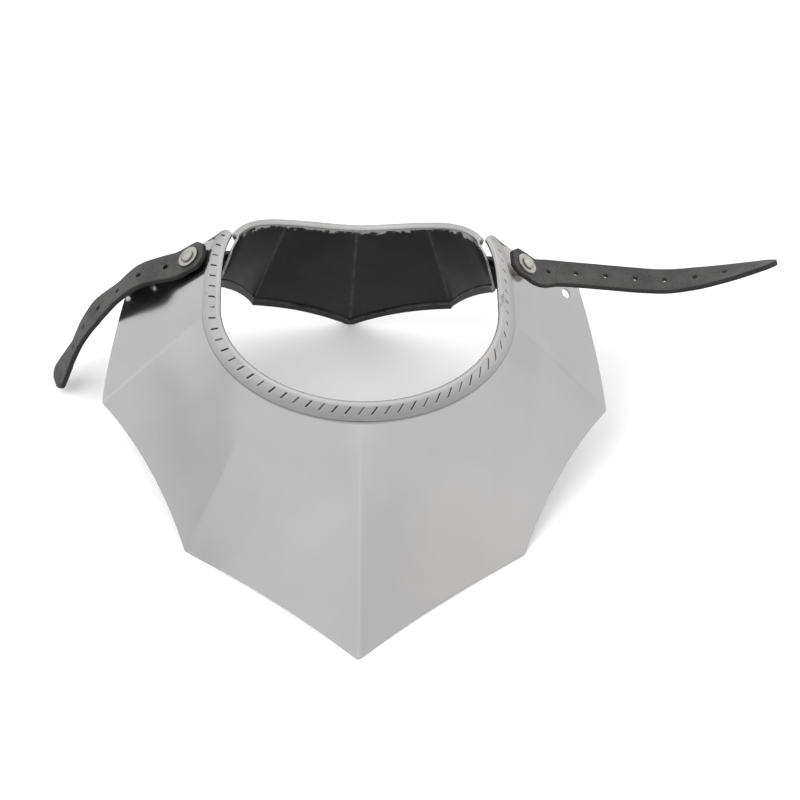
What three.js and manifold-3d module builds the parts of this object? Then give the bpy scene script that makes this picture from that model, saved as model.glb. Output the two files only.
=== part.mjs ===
// A two-plate steel gorget with two leather shoulder straps.
// Millimetres, +Z up, +X to the wearer's left (the right of a viewer who faces its front), -Y to the front.
import * as THREE from 'three';
import { mergeVertices } from 'three/addons/utils/BufferGeometryUtils.js';
import Module from 'manifold-3d';

const wasm = await Module();
wasm.setup();

const SHEET = 1.3;
const GAP = 0.3;

// The neck line of the front plate in plan: an ellipse in front and a squarer curve behind, on a sloping
// plane.
const NECK = {
  halfWidth: 74, frontDepth: 56.5, rearDepth: 64, squareness: 4, sideHeight: 96.5, slope: 0.235,
};

// The neck edge of the front plate is rolled outward and flattened into a band that hangs over the plate.
const BAND = { width: 11, frontSlope: 70, sideSlope: 34, bead: 2, flap: 1.2 };

// Slanted cuts round the face of the band.
const CUTS = {
  count: 47, fromAngle: -118, toAngle: 118, length: 6, width: 0.9, depth: 0.45, lean: 32, down: 4.6,
};

// The ridges of the front plate from its middle to the rear edge of a shoulder: the neck angle where each
// starts, the point where it ends, and for the panel beyond it the share of its length that the edge is
// scooped inward, the depth that it sags below straight lines and the steps across it.
const FRONT_RIDGES = [
  { angle: 0, x: 0, y: -161.5, z: -0.4, scoop: 0.033, sag: 2.6, steps: 9 },
  { angle: 41, x: 91, y: -89, z: -0.6, scoop: 0.077, sag: 2.8, steps: 9 },
  { angle: 90, x: 138, y: -16, z: 38, scoop: -0.04, sag: 0.4, steps: 7 },
  { angle: 122.6, x: 125, y: 49, z: 70 },
];
const FRONT_REACHES = [1, 0.86, 0.7, 0.52, 0.34, 0.18, 0.07, 0];

// The back plate's neck line in plan is a rounded rectangle that is lowest in the middle.
const BACK_NECK = {
  halfWidth: 72, depth: 72, squareness: 4, height: 87.6, rise: 12, riseAt: 71.5, risePower: 1.75,
};
const BACK_ROLL = { radius: 2.2, endsAt: 0.935 };
const BACK_HEM = { width: 5, thickness: 1.1 };

// The ridges of the back plate from its middle to an end: across is the share of the half width where each
// starts on the neck line.
const BACK_RIDGES = [
  { across: 0, x: 0, y: 93, z: -1, scoop: 0.055, steps: 8 },
  { across: 0.56, x: 59, y: 80, z: 26, scoop: 0.05, steps: 9 },
  { across: 0.982, x: 77, y: 39, z: 76 },
];
const BACK_HOLLOW = 1.2;
const BACK_REACHES = [0.75, 0.5, 0.25, 0.08, 0];

// Each end of the back plate is turned outward in a flange, and has an ear that lies under the front plate's
// shoulder.
const FLANGE = { across: 0.974, from: 0.08, to: 0.97, topOut: 12.5, topDrop: 5, lowOut: 11, lowRise: 2 };
const EAR = { width: 11, seatLength: 15, rootReach: 0.2, rootAcross: [0.98, 0.938], bury: 0.7, gap: 0.8 };

const RIVET = {
  angle: 113.2, reach: 0.2, shank: 4, headRadius: 3.8, headHeight: 2.5, tailRadius: 3.2, tailHeight: 1.1,
};
const WASHER = { radius: 6.3, thickness: 1 };
const SHOULDER_HOLE = { angle: 118.2, reach: 0.785, radius: 2.9 };

// A strap lies flat on the shoulder round its rivet and is free from there on. Its inner end has cut corners.
const STRAP = {
  width: 19, thickness: 2.8, hole: 1.5, insideEnd: 10, chamfer: 5, lift: 1.45,
  flatEnd: 9, flatUntil: 16, settle: 40, step: 5, tip: 7, blunt: 0.45,
};

// Sections of each strap's middle line from its rivet to its free end: out from the middle plane, back and
// up in the frame of the plates, and the twist of its face in degrees.
const LEFT_ROUTE = [
  { out: 107, back: 42, up: 84, twist: 0 },
  { out: 120, back: 41, up: 79, twist: 3 },
  { out: 132, back: 40, up: 67.2, twist: 8 },
  { out: 143.5, back: 38.5, up: 54.5, twist: -4 },
  { out: 152, back: 37.5, up: 40, twist: -1 },
  { out: 158, back: 36.5, up: 25, twist: 1 },
  { out: 168, back: 33.5, up: 3.8, twist: -16 },
];
const RIGHT_ROUTE = [
  { out: 108, back: 44.6, up: 84.6, twist: 0 },
  { out: 123.5, back: 46.3, up: 82, twist: 0 },
  { out: 139, back: 46.5, up: 80.5, twist: 0 },
  { out: 156, back: 46.5, up: 79, twist: 0 },
  { out: 173, back: 46.5, up: 78.5, twist: 2 },
  { out: 191, back: 46.5, up: 81.5, twist: 8 },
  { out: 212, back: 46.5, up: 87.3, twist: 22 },
  { out: 233, back: 46.5, up: 94.5, twist: 38 },
];

const STRAPS = [
  { name: 'left', side: -1, holes: 6, pitch: 16, route: LEFT_ROUTE },
  { name: 'right', side: 1, holes: 7, pitch: 16.9, route: RIGHT_ROUTE },
];

const STEEL = { color: 0xc6c6c4, roughness: 0.28, metalness: 1 };
const LEATHER = { color: 0x3a3938, roughness: 0.7, metalness: 0 };

const rad = THREE.MathUtils.degToRad;
const vec = (x, y, z) => new THREE.Vector3(x, y, z);
const signed = (value, power) => Math.sign(value) * Math.abs(value) ** power;
const mix = (a, b, share) => a.clone().lerp(b, share);
const hump = (share) => 4 * share * (1 - share);

// A closed body from a row of closed rings. Each ring runs along one face and back along the other, so its
// first and last points face each other, and both ends are closed by strips between the faces.
function loft(rings) {
  const count = rings[0].length;
  const positions = rings.flat().flatMap((p) => [p.x, p.y, p.z]);
  const triangles = [];
  const quad = (a, b, c, d) => triangles.push(a, b, c, a, c, d);
  for (let i = 0; i + 1 < rings.length; i += 1) {
    for (let j = 0; j < count; j += 1) {
      const next = (j + 1) % count;
      quad(i * count + j, (i + 1) * count + j, (i + 1) * count + next, i * count + next);
    }
  }
  const last = (rings.length - 1) * count;
  for (let j = 0; j + 1 < count / 2; j += 1) {
    const across = count - 1 - j;
    quad(j, j + 1, across - 1, across);
    quad(last + across, last + across - 1, last + j + 1, last + j);
  }
  const geometry = new THREE.BufferGeometry();
  geometry.setAttribute('position', new THREE.Float32BufferAttribute(positions, 3));
  geometry.setIndex(triangles);
  return geometry;
}

// The solid inside a closed geometry, whichever way round its triangles were listed.
function solid(geometry) {
  const bare = geometry.clone();
  bare.deleteAttribute('normal');
  bare.deleteAttribute('uv');
  const merged = mergeVertices(bare, 1e-4);
  const body = (triVerts) => new wasm.Manifold(new wasm.Mesh({
    numProp: 3,
    vertProperties: new Float32Array(merged.attributes.position.array),
    triVerts,
  }));
  const listed = new Uint32Array(merged.index.array);
  const first = body(listed);
  return first.volume() > 0 ? first : body(listed.reverse());
}

function geometryOf(manifold) {
  const { vertProperties, triVerts, numProp } = manifold.getMesh();
  const positions = [];
  for (let i = 0; i < vertProperties.length; i += numProp) positions.push(...vertProperties.slice(i, i + 3));
  const geometry = new THREE.BufferGeometry();
  geometry.setAttribute('position', new THREE.Float32BufferAttribute(positions, 3));
  geometry.setIndex([...triVerts]);
  return geometry;
}

// A frame whose z axis is the given normal and whose x axis is the given direction made square to it.
function frameAt(origin, normal, along) {
  const z = normal.clone().normalize();
  const x = along.clone().addScaledVector(z, -along.dot(z)).normalize();
  const y = z.clone().cross(x);
  return new THREE.Matrix4().makeBasis(x, y, z).setPosition(origin);
}

function drill(radius, depth, frame) {
  const bit = new THREE.CylinderGeometry(radius, radius, depth, 16);
  bit.rotateX(Math.PI / 2);
  return solid(bit.applyMatrix4(frame));
}

// The point of the neck line at an angle from the front, with its outward direction in plan.
function neckPoint(angle) {
  const [s, c] = [Math.sin(angle), Math.cos(angle)];
  const rear = c < 0;
  const power = rear ? NECK.squareness : 2;
  const depth = rear ? NECK.rearDepth : NECK.frontDepth;
  const x = NECK.halfWidth * signed(s, 2 / power);
  const y = -depth * signed(c, 2 / power);
  const outward = vec(
    signed(x / NECK.halfWidth, power - 1) / NECK.halfWidth,
    signed(y / depth, power - 1) / depth,
    0,
  ).normalize();
  return { point: vec(x, y, NECK.sideHeight + NECK.slope * y), outward };
}

// The band runs down and outward from the neck line, steep in front and flatter at the sides.
function bandFrame(angle) {
  const { point, outward } = neckPoint(angle);
  const share = Math.max(Math.cos(angle), 0);
  const slope = rad(THREE.MathUtils.lerp(BAND.sideSlope, BAND.frontSlope, share));
  const down = outward.clone().multiplyScalar(Math.cos(slope)).add(vec(0, 0, -Math.sin(slope)));
  const face = outward.clone().multiplyScalar(Math.sin(slope)).add(vec(0, 0, Math.cos(slope)));
  const place = (along, off) => point.clone().addScaledVector(down, along).addScaledVector(face, off);
  return { place, down, face };
}

// The outer face of the front plate: straight lines from the lower edge of the band to an edge that is
// straight or scooped between the ridges' points, sagging a little between ridges.
function frontFace(angle, reach) {
  const top = bandFrame(angle).place(BAND.width, 0);
  const turn = Math.min(Math.abs(angle), rad(FRONT_RIDGES.at(-1).angle));
  let row = FRONT_RIDGES.findIndex((ridge, i) => i > 0 && turn <= rad(ridge.angle)) - 1;
  if (row < 0) row = FRONT_RIDGES.length - 2;
  const [a, b] = [FRONT_RIDGES[row], FRONT_RIDGES[row + 1]];
  const share = (turn - rad(a.angle)) / (rad(b.angle) - rad(a.angle));
  const edge = mix(vec(a.x, a.y, a.z), vec(b.x, b.y, b.z), share);
  edge.x *= angle < 0 ? -1 : 1;
  edge.lerp(top, a.scoop * hump(share));
  const point = mix(top, edge, reach);
  point.z -= a.sag * hump(share) * Math.sin(Math.PI * reach);
  return point;
}

function frontNormal(angle, reach) {
  const [turn, step] = [0.01, 0.01];
  const low = Math.max(reach - step, 0);
  const across = frontFace(angle + turn, reach).sub(frontFace(angle - turn, reach));
  const down = frontFace(angle, low + 2 * step).sub(frontFace(angle, low));
  return down.cross(across).normalize();
}

// One closed section of the front plate: up its outer face, over the flap and half the bead, then down the
// other half of the bead and the inner face.
function frontRing(angle) {
  const { place, face } = bandFrame(angle);
  const bead = (turn) => place(
    BAND.bead - BAND.bead * Math.sin(rad(turn)),
    BAND.bead - SHEET + BAND.bead * Math.cos(rad(turn)),
  );
  const crown = 2 * BAND.bead - SHEET;
  const outer = FRONT_REACHES.map((reach) => frontFace(angle, reach));
  const inner = FRONT_REACHES.map((reach) => {
    const normal = frontNormal(angle, reach);
    if (reach === 0) normal.add(face).normalize();
    return frontFace(angle, reach).addScaledVector(normal, -SHEET);
  });
  const middle = BAND.width / 2;
  outer.push(place(BAND.width, BAND.flap), place(middle, (BAND.flap + crown) / 2));
  outer.push(bead(0), bead(45), bead(80));
  inner.push(place(BAND.width - 1.2, -SHEET), place(middle, -SHEET));
  inner.push(bead(180), bead(135), bead(100));
  return [...outer, ...inner.reverse()];
}

function ridgeAngles() {
  const half = [];
  FRONT_RIDGES.forEach((ridge, i) => {
    const next = FRONT_RIDGES[i + 1];
    for (let k = 0; next && k < ridge.steps; k += 1) {
      half.push(rad(THREE.MathUtils.lerp(ridge.angle, next.angle, k / ridge.steps)));
    }
  });
  half.push(rad(FRONT_RIDGES.at(-1).angle));
  return [...half.slice(1).reverse().map((angle) => -angle), ...half];
}

function rivetFrame(side) {
  const angle = side * rad(RIVET.angle);
  const normal = frontNormal(angle, RIVET.reach);
  return frameAt(frontFace(angle, RIVET.reach), normal, vec(side, 0, 0));
}

// The ground cuts a small flat on each point that the gorget stands on.
const ground = (() => {
  const block = new THREE.BoxGeometry(400, 400, 20);
  block.translate(0, 0, -10);
  return solid(block);
})();

// The angles of the cuts, evenly spaced by the distance round the band.
function cutAngles() {
  const fine = 600;
  const angles = Array.from({ length: fine + 1 }, (_, i) => (
    rad(THREE.MathUtils.lerp(CUTS.fromAngle, CUTS.toAngle, i / fine))
  ));
  const points = angles.map((angle) => bandFrame(angle).place(CUTS.down, 0));
  const lengths = [0];
  for (let i = 1; i <= fine; i += 1) lengths.push(lengths[i - 1] + points[i].distanceTo(points[i - 1]));
  return Array.from({ length: CUTS.count }, (_, k) => {
    const wanted = lengths[fine] * k / (CUTS.count - 1);
    const i = Math.max(1, lengths.findIndex((length) => length >= wanted - 1e-9));
    const share = (wanted - lengths[i - 1]) / (lengths[i] - lengths[i - 1]);
    return THREE.MathUtils.lerp(angles[i - 1], angles[i], share);
  });
}

function bandCuts() {
  const cuts = [];
  for (const angle of cutAngles()) {
    const { place, down } = bandFrame(angle);
    const low = place(BAND.width, BAND.flap);
    const high = place(BAND.bead, 2 * BAND.bead - SHEET);
    const centre = mix(high, low, (CUTS.down - BAND.bead) / (BAND.width - BAND.bead));
    const beside = (turn) => bandFrame(angle + turn).place(CUTS.down, 0);
    const around = beside(0.02).sub(beside(-0.02));
    const normal = low.sub(high).cross(around).normalize();
    const along = down.clone().negate().applyAxisAngle(normal, -rad(CUTS.lean));
    const cutter = new THREE.BoxGeometry(CUTS.length, CUTS.width, 2 * CUTS.depth);
    cuts.push(solid(cutter.applyMatrix4(frameAt(centre, normal, along))));
  }
  return wasm.Manifold.union(cuts);
}

function frontPlate() {
  let plate = solid(loft(ridgeAngles().map(frontRing))).subtract(ground).subtract(bandCuts());
  for (const side of [-1, 1]) {
    plate = plate.subtract(drill(RIVET.shank / 2 + GAP, 10, rivetFrame(side)));
  }
  const angle = rad(SHOULDER_HOLE.angle);
  const normal = frontNormal(angle, SHOULDER_HOLE.reach);
  const hole = frameAt(frontFace(angle, SHOULDER_HOLE.reach), normal, vec(1, 0, 0));
  return geometryOf(plate.subtract(drill(SHOULDER_HOLE.radius, 10, hole)));
}

// The outer face of the back plate: straight lines from its neck line to its scooped lower edge.
function backNeck(across) {
  const x = BACK_NECK.halfWidth * across;
  const y = BACK_NECK.depth * (1 - Math.abs(across) ** BACK_NECK.squareness) ** (1 / BACK_NECK.squareness);
  const z = BACK_NECK.height + BACK_NECK.rise * (Math.abs(x) / BACK_NECK.riseAt) ** BACK_NECK.risePower;
  return vec(x, y, z);
}

function backFace(across, reach) {
  const top = backNeck(across);
  const turn = Math.abs(across);
  const row = turn <= BACK_RIDGES[1].across ? 0 : 1;
  const [a, b] = [BACK_RIDGES[row], BACK_RIDGES[row + 1]];
  const share = (turn - a.across) / (b.across - a.across);
  const edge = mix(vec(a.x, a.y, a.z), vec(b.x, b.y, b.z), share);
  edge.x *= across < 0 ? -1 : 1;
  edge.lerp(top, a.scoop * hump(Math.min(share, 1)));
  const point = mix(top, edge, reach);
  const inward = vec(-point.x, -point.y, 0).normalize();
  return point.addScaledVector(inward, BACK_HOLLOW * hump(Math.min(share, 1)) * Math.sin(Math.PI * reach));
}

function backNormal(across, reach) {
  const [turn, step] = [0.004, 0.01];
  const low = Math.max(reach - step, 0);
  const along = backFace(across + turn, reach).sub(backFace(across - turn, reach));
  const down = backFace(across, low + 2 * step).sub(backFace(across, low));
  return along.cross(down).normalize();
}

// One closed section of the back plate: up the outer face, round the roll, down the inner face and the hem.
function backRing(across) {
  const length = backFace(across, 1).distanceTo(backFace(across, 0));
  const hemTop = 1 - BACK_HEM.width / length;
  const outer = [1, hemTop, hemTop - 0.005, ...BACK_REACHES].map((reach) => backFace(across, reach));
  const inset = (reach) => {
    const deep = reach >= hemTop ? SHEET + BACK_HEM.thickness : SHEET;
    return backFace(across, reach).addScaledVector(backNormal(across, reach), -deep);
  };
  const inner = [1, hemTop, hemTop - 0.005, ...BACK_REACHES].map(inset);
  const top = backFace(across, 0);
  const out = backNormal(across, 0);
  const up = top.clone().sub(backFace(across, 0.05)).normalize();
  const rolled = Math.abs(across) < BACK_ROLL.endsAt + 1e-6;
  const radius = rolled ? BACK_ROLL.radius : SHEET / 2;
  const roll = (turn) => top.clone()
    .addScaledVector(out, radius - SHEET + radius * Math.cos(rad(turn)))
    .addScaledVector(up, 0.05 + radius + radius * Math.sin(rad(turn)));
  outer.push(roll(-60), roll(0), roll(45), roll(85));
  inner.push(roll(190), roll(165), roll(130), roll(95));
  return [...outer, ...inner.reverse()];
}

function backStations() {
  const half = [];
  BACK_RIDGES.forEach((ridge, i) => {
    const next = BACK_RIDGES[i + 1];
    for (let k = 0; next && k < ridge.steps; k += 1) {
      half.push(THREE.MathUtils.lerp(ridge.across, next.across, k / ridge.steps));
    }
  });
  half.push(BACK_RIDGES.at(-1).across, BACK_ROLL.endsAt, BACK_ROLL.endsAt + 0.002);
  half.sort((a, b) => a - b);
  return [...half.slice(1).reverse().map((across) => -across), ...half];
}

// A bent strip: out from the tab, then along the underside of the front plate's shoulder.
function ear(side) {
  const seat = rivetFrame(side);
  const under = (along, wide, depth) => vec(along, wide, -depth).applyMatrix4(seat);
  const [top, half] = [SHEET + EAR.gap, EAR.seatLength / 2];
  const root = (across, lift) => {
    const point = backFace(side * across, EAR.rootReach);
    point.addScaledVector(backNormal(side * across, EAR.rootReach), -EAR.bury);
    return point.add(vec(0, 0, lift));
  };
  const edge = side * EAR.width / 2;
  const [front, rear] = EAR.rootAcross;
  const rings = [
    [root(front, SHEET / 2), root(rear, SHEET / 2), root(rear, -SHEET / 2), root(front, -SHEET / 2)],
    ...[-half, half].map((along) => [
      under(along, -edge, top), under(along, edge, top),
      under(along, edge, top + SHEET), under(along, -edge, top + SHEET),
    ]),
  ];
  return solid(loft(rings));
}

function flange(side) {
  const high = backFace(side * FLANGE.across, FLANGE.from);
  const low = backFace(side * FLANGE.across, FLANGE.to);
  const sheet = (p) => [p, p.clone().add(vec(0, SHEET, 0))];
  const [highFront, highRear] = sheet(high.clone().add(vec(-side * EAR.bury, 0, 0)));
  const [lowFront, lowRear] = sheet(low.clone().add(vec(-side * EAR.bury, 0, 0)));
  const [topFront, topRear] = sheet(high.clone().add(vec(side * FLANGE.topOut, 0, -FLANGE.topDrop)));
  const [endFront, endRear] = sheet(low.clone().add(vec(side * FLANGE.lowOut, 0, FLANGE.lowRise)));
  return solid(loft([[highFront, lowFront, lowRear, highRear], [topFront, endFront, endRear, topRear]]));
}

function backPlate() {
  let plate = solid(loft(backStations().map(backRing))).subtract(ground);
  for (const side of [-1, 1]) {
    plate = plate.add(ear(side)).add(flange(side)).subtract(drill(RIVET.shank / 2 + GAP, 16, rivetFrame(side)));
  }
  return geometryOf(plate);
}

// The middle line of a strap: flat on the shoulder round its rivet, then along its route to the free end.
function strapLine(side, route) {
  const seat = rivetFrame(side);
  const onSeat = (along) => vec(along, 0, STRAP.lift + STRAP.thickness / 2).applyMatrix4(seat);
  const flat = [-STRAP.insideEnd, 0, STRAP.flatEnd].map(onSeat);
  const free = route.map(({ out, back, up }) => vec(side * out, back, up));
  return new THREE.CatmullRomCurve3([...flat, ...free], false, 'centripetal');
}

// The middle point and the length, width and thickness directions of a strap at a distance along it.
function strapFrame(side, route, line, distance) {
  const share = distance / line.getLength();
  const along = line.getTangentAt(share);
  const seat = rivetFrame(side);
  const [x, y, z] = [vec(), vec(), vec()];
  seat.extractBasis(x, y, z);
  const settling = (STRAP.settle - distance) / (STRAP.settle - STRAP.flatUntil);
  const level = mix(vec(0, side, 0), y, THREE.MathUtils.clamp(settling, 0, 1));
  const twists = [0, 0, 0, ...route.map(({ twist }) => twist)];
  const spot = THREE.MathUtils.clamp(line.getUtoTmapping(share), 0, 1) * (twists.length - 1);
  const low = Math.min(Math.floor(spot), twists.length - 2);
  const twist = THREE.MathUtils.lerp(twists[low], twists[low + 1], spot - low);
  const wide = level.addScaledVector(along, -level.dot(along)).normalize();
  wide.applyAxisAngle(along, -side * rad(twist));
  return { point: line.getPointAt(share), along, wide, thick: along.clone().cross(wide) };
}

// The half width of a strap: its inner end has cut corners and its free end is rounded.
function strapHalfWidth(distance, length) {
  const half = STRAP.width / 2;
  const left = length - distance;
  const corner = Math.min(half, half - STRAP.chamfer + distance);
  const round = left < STRAP.tip ? Math.sqrt(1 - (1 - left / STRAP.tip) ** 2) : 1;
  return Math.min(corner, half * Math.max(round, STRAP.blunt));
}

function strap({ side, holes, pitch, route }) {
  const line = strapLine(side, route);
  const length = line.getLength();
  const rows = [0, STRAP.chamfer];
  while (rows.at(-1) + STRAP.step < length - STRAP.tip) rows.push(rows.at(-1) + STRAP.step);
  for (const share of [1, 0.6, 0.3, 0.12, 0]) rows.push(length - STRAP.tip * share);
  const rings = rows.map((distance) => {
    const { point, wide, thick } = strapFrame(side, route, line, distance);
    const half = strapHalfWidth(distance, length);
    const corner = (w, t) => point.clone()
      .addScaledVector(wide, w * half)
      .addScaledVector(thick, t * STRAP.thickness / 2);
    return [corner(-1, 1), corner(1, 1), corner(1, -1), corner(-1, -1)];
  });
  let band = solid(loft(rings));
  for (let i = 0; i <= holes; i += 1) {
    const { point, along, thick } = strapFrame(side, route, line, STRAP.insideEnd + i * pitch);
    const radius = i === 0 ? RIVET.shank / 2 + GAP : STRAP.hole;
    band = band.subtract(drill(radius, 3 * STRAP.thickness, frameAt(point, thick, along)));
  }
  return geometryOf(band);
}

// Heights above the front plate's outer face at the rivet.
const STRAP_TOP = STRAP.lift + STRAP.thickness;
const WASHER_SEAT = STRAP_TOP + GAP;
const HEAD_SEAT = WASHER_SEAT + WASHER.thickness + GAP;
const TAIL_SEAT = -(2 * SHEET + EAR.gap + GAP);

function turned(profile, side) {
  const points = profile.map(([radius, height]) => new THREE.Vector2(radius, height));
  const body = new THREE.LatheGeometry(points, 20);
  body.rotateX(Math.PI / 2);
  return geometryOf(solid(body.applyMatrix4(rivetFrame(side))));
}

function washer(side) {
  const [inner, top] = [RIVET.shank / 2 + GAP, WASHER_SEAT + WASHER.thickness];
  const edge = WASHER.thickness * 0.4;
  return turned([
    [inner, WASHER_SEAT], [WASHER.radius, WASHER_SEAT],
    [WASHER.radius, top - edge], [WASHER.radius - edge, top],
    [inner, top], [inner, WASHER_SEAT],
  ], side);
}

function rivet(side) {
  const shank = RIVET.shank / 2;
  const tailEnd = TAIL_SEAT - RIVET.tailHeight;
  const dome = [0, 18, 36, 54, 72, 90].map((turn) => [
    RIVET.headRadius * Math.cos(rad(turn)),
    HEAD_SEAT + 0.4 + (RIVET.headHeight - 0.4) * Math.sin(rad(turn)),
  ]);
  dome.at(-1)[0] = 0;
  return turned([
    [0, tailEnd], [RIVET.tailRadius, tailEnd], [RIVET.tailRadius, TAIL_SEAT], [shank, TAIL_SEAT],
    [shank, HEAD_SEAT], [RIVET.headRadius, HEAD_SEAT], ...dome,
  ], side);
}

const gorget = new THREE.Group();
const add = (name, geometry, look) => {
  const mesh = new THREE.Mesh(geometry, new THREE.MeshStandardMaterial(look));
  mesh.name = name;
  gorget.add(mesh);
};

add('front_plate', frontPlate(), STEEL);
add('back_plate', backPlate(), STEEL);
for (const row of STRAPS) {
  add(`strap_${row.name}`, strap(row), LEATHER);
  add(`washer_${row.name}`, washer(row.side), STEEL);
  add(`rivet_${row.name}`, rivet(row.side), STEEL);
}

// The origin is under the middle of the whole, on the ground.
const bounds = new THREE.Box3().setFromObject(gorget);
const middle = bounds.getCenter(vec());
gorget.position.set(-middle.x, -middle.y, -bounds.min.z);
gorget.updateMatrixWorld(true);

export default gorget;
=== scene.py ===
import math
import bmesh
import bpy
import numpy as np
from mathutils import Matrix, Vector


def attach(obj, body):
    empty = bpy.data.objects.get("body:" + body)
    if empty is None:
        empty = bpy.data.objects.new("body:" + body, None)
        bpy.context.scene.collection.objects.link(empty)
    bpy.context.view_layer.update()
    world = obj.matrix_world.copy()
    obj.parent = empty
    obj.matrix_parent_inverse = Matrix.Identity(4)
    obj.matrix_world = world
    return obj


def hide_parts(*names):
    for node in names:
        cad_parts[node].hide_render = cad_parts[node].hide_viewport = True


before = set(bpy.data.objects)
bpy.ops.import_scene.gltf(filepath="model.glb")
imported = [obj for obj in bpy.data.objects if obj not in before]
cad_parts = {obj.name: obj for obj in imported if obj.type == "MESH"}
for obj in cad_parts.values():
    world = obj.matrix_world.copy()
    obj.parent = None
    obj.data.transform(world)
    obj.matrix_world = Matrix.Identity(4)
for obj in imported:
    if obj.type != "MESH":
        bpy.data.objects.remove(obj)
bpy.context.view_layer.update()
print("frame loaded")

# Everything is worked out in millimetres about the middle of the neck, then moved into the frame in metres.
neckMiddle = np.array([-31.863, 34.092, 0.0])
sheetThickness = 1.3


def toFrame(points):
    return (np.asarray(points, dtype=float) + neckMiddle) / 1000.0


def smoothStep(low, high, value):
    t = np.clip((value - low) / (high - low), 0.0, 1.0)
    return t * t * (3.0 - 2.0 * t)


def unit(v):
    return v / np.maximum(np.linalg.norm(v, axis=-1, keepdims=True), 1e-9)


def signedPower(value, power):
    return np.sign(value) * np.abs(value) ** power


# Faces of a grid of rows x columns, as indices; either direction can be closed on itself.
def gridFaces(rows, columns, closeRows=False, closeColumns=False):
    r = np.arange(rows if closeRows else rows - 1)
    c = np.arange(columns if closeColumns else columns - 1)
    rr, cc = np.meshgrid(r, c, indexing="ij")
    rn, cn = (rr + 1) % rows, (cc + 1) % columns
    quads = np.stack([rr * columns + cc, rn * columns + cc, rn * columns + cn, rr * columns + cn], -1)
    return quads.reshape(-1, 4)


# One mesh object from points in millimetres and quads, with a material slot for each face.
def meshPiece(name, points, quads, materials, slots=None):
    mesh = bpy.data.meshes.new(name)
    points = toFrame(points)
    mesh.vertices.add(len(points))
    mesh.vertices.foreach_set("co", points.astype(np.float32).ravel())
    mesh.loops.add(quads.size)
    mesh.loops.foreach_set("vertex_index", quads.astype(np.int32).ravel())
    mesh.polygons.add(len(quads))
    mesh.polygons.foreach_set("loop_start", np.arange(0, quads.size, 4, dtype=np.int32))
    if slots is not None:
        mesh.polygons.foreach_set("material_index", slots.astype(np.int32))
    mesh.update(calc_edges=True)
    mesh.validate()
    mesh.shade_smooth()
    for material in materials:
        mesh.materials.append(material)
    piece = bpy.data.objects.new(name, mesh)
    bpy.context.scene.collection.objects.link(piece)
    return piece


# One number for each point, which a material reads by its name.
def setValues(piece, name, values):
    layer = piece.data.attributes.new(name, "FLOAT", "POINT")
    layer.data.foreach_set("value", np.asarray(values, dtype=np.float32))


# Materials.

def newMaterial(name):
    material = bpy.data.materials.new(name)
    material.use_nodes = True
    nodes, links = material.node_tree.nodes, material.node_tree.links
    shader = nodes["Principled BSDF"]
    coords = nodes.new("ShaderNodeTexCoord").outputs["Object"]

    def noise(scale, detail=3.0, rough=0.55, stretch=None):
        node = nodes.new("ShaderNodeTexNoise")
        node.inputs["Scale"].default_value = scale
        node.inputs["Detail"].default_value = detail
        node.inputs["Roughness"].default_value = rough
        source = coords
        if stretch:
            mapping = nodes.new("ShaderNodeMapping")
            mapping.inputs["Scale"].default_value = stretch
            links.new(coords, mapping.inputs["Vector"])
            source = mapping.outputs["Vector"]
        links.new(source, node.inputs["Vector"])
        return node.outputs["Fac"]

    def cells(scale, feature="F1"):
        node = nodes.new("ShaderNodeTexVoronoi")
        node.feature = feature
        node.inputs["Scale"].default_value = scale
        links.new(coords, node.inputs["Vector"])
        return node.outputs["Distance"]

    def ramp(value, stops):
        node = nodes.new("ShaderNodeValToRGB")
        node.color_ramp.elements[0].position, node.color_ramp.elements[1].position = stops[0][0], stops[-1][0]
        for place, _ in stops[1:-1]:
            node.color_ramp.elements.new(place)
        for element, (_, colour) in zip(node.color_ramp.elements, stops):
            element.color = (*colour, 1.0) if isinstance(colour, tuple) else (colour, colour, colour, 1.0)
        links.new(value, node.inputs["Fac"])
        return node.outputs["Color"]

    def mix(kind, factor, first, second):
        node = nodes.new("ShaderNodeMix")
        node.data_type = "RGBA"
        node.blend_type = kind
        for socket, value in ((node.inputs[0], factor), (node.inputs[6], first), (node.inputs[7], second)):
            if hasattr(value, "is_linked"):
                links.new(value, socket)
            elif isinstance(value, tuple):
                socket.default_value = (*value, 1.0)
            else:
                socket.default_value = value
        return node.outputs[2]

    def bump(height, strength, distance, after=None):
        node = nodes.new("ShaderNodeBump")
        node.inputs["Strength"].default_value = strength
        node.inputs["Distance"].default_value = distance
        links.new(height, node.inputs["Height"])
        if after is not None:
            links.new(after, node.inputs["Normal"])
        return node.outputs["Normal"]

    kit = dict(noise=noise, cells=cells, ramp=ramp, mix=mix, bump=bump, link=links.new, nodes=nodes)
    return material, shader.inputs, kit


plateSteel = {
    "bright": (0.585, 0.578, 0.58), "dull": (0.54, 0.533, 0.532),
    "warm": (0.58, 0.55, 0.51), "pit": (0.16, 0.15, 0.14),
    "sootAndShadeColour": (0.035, 0.033, 0.03), "roughness": (0.13, 0.21), "cloudScale": 13.0, "hammerScale": 17.0,
}
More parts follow.
